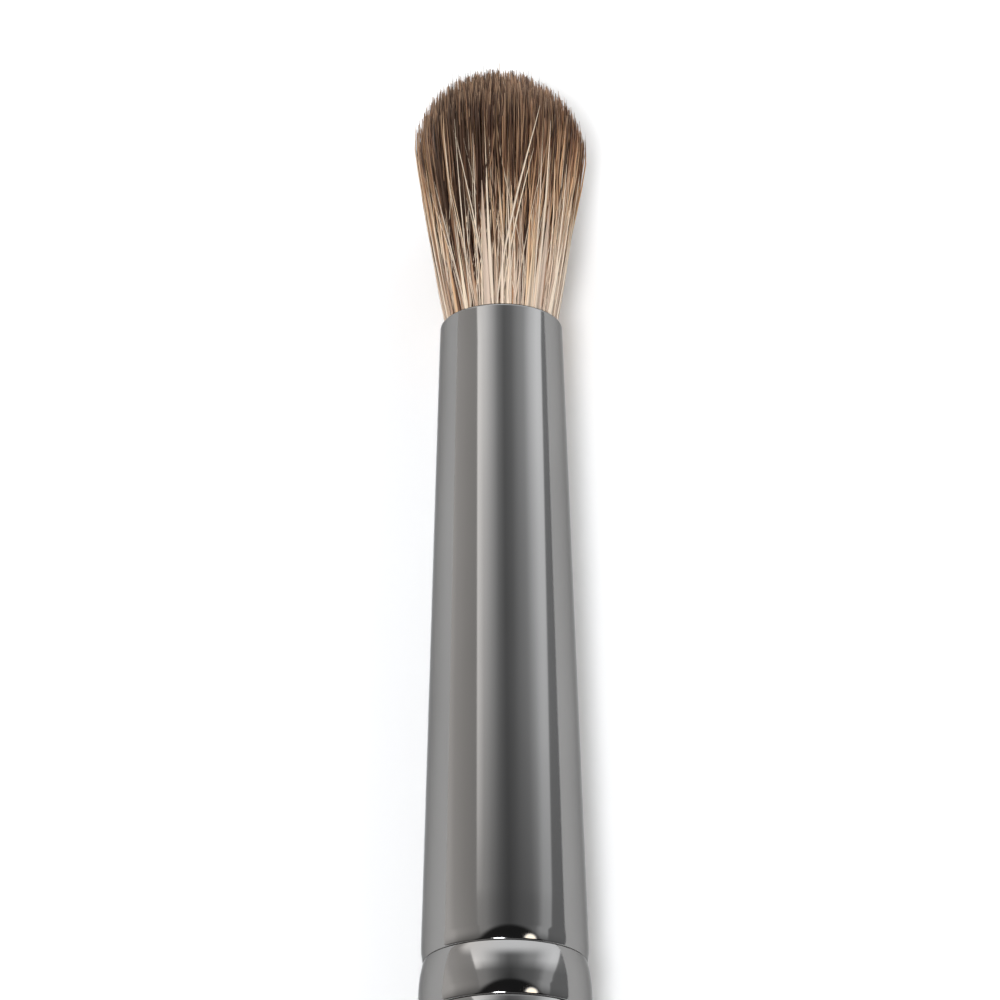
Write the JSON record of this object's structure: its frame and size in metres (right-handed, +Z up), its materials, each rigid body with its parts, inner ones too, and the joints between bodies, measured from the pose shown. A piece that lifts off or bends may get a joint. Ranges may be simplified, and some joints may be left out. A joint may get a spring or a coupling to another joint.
{
  "type": "eyeshadow brush",
  "caption": "Small cosmetic brush with a domed tuft of brown natural hair, a tapered gunmetal ferrule with rolled crimps and a slim black lacquered wooden handle.",
  "frame": {"origin": "on the surface that the brush lies on, below the middle of its length", "axes": "+Y from the tail of the handle to the hair, +Z up from the surface, +X to the right as seen from above with the hair away from the viewer"},
  "size_m": [0.0092, 0.1738, 0.0107],
  "materials": {
    "lacquered_wood": "turned hardwood under black gloss lacquer",
    "gunmetal": "drawn tube with a polished dark grey plating",
    "glue": "cured epoxy, amber and slightly cloudy",
    "thread": "twisted cotton thread, undyed",
    "hair": "natural hair, cream at the roots, dark brown in the middle and tan at the tips"
  },
  "bodies": {
    "brush": {"handle": "lacquered_wood", "handle_glue": "glue", "ferrule": "gunmetal", "root_glue": "glue", "binding_thread": "thread", "hair_roots": "hair"},
    "tuft": {"hair_locks": "hair"}
  },
  "joints": [
    {"name": "hair_flex", "type": "hinge", "parent": "brush", "child": "tuft", "pos_m": [0, 0.07212, 0.00581], "axis": [0, -0.023, 0.9997], "range_deg": [-30, 30], "stiffness_Nm_per_rad": 0.006}
  ]
}
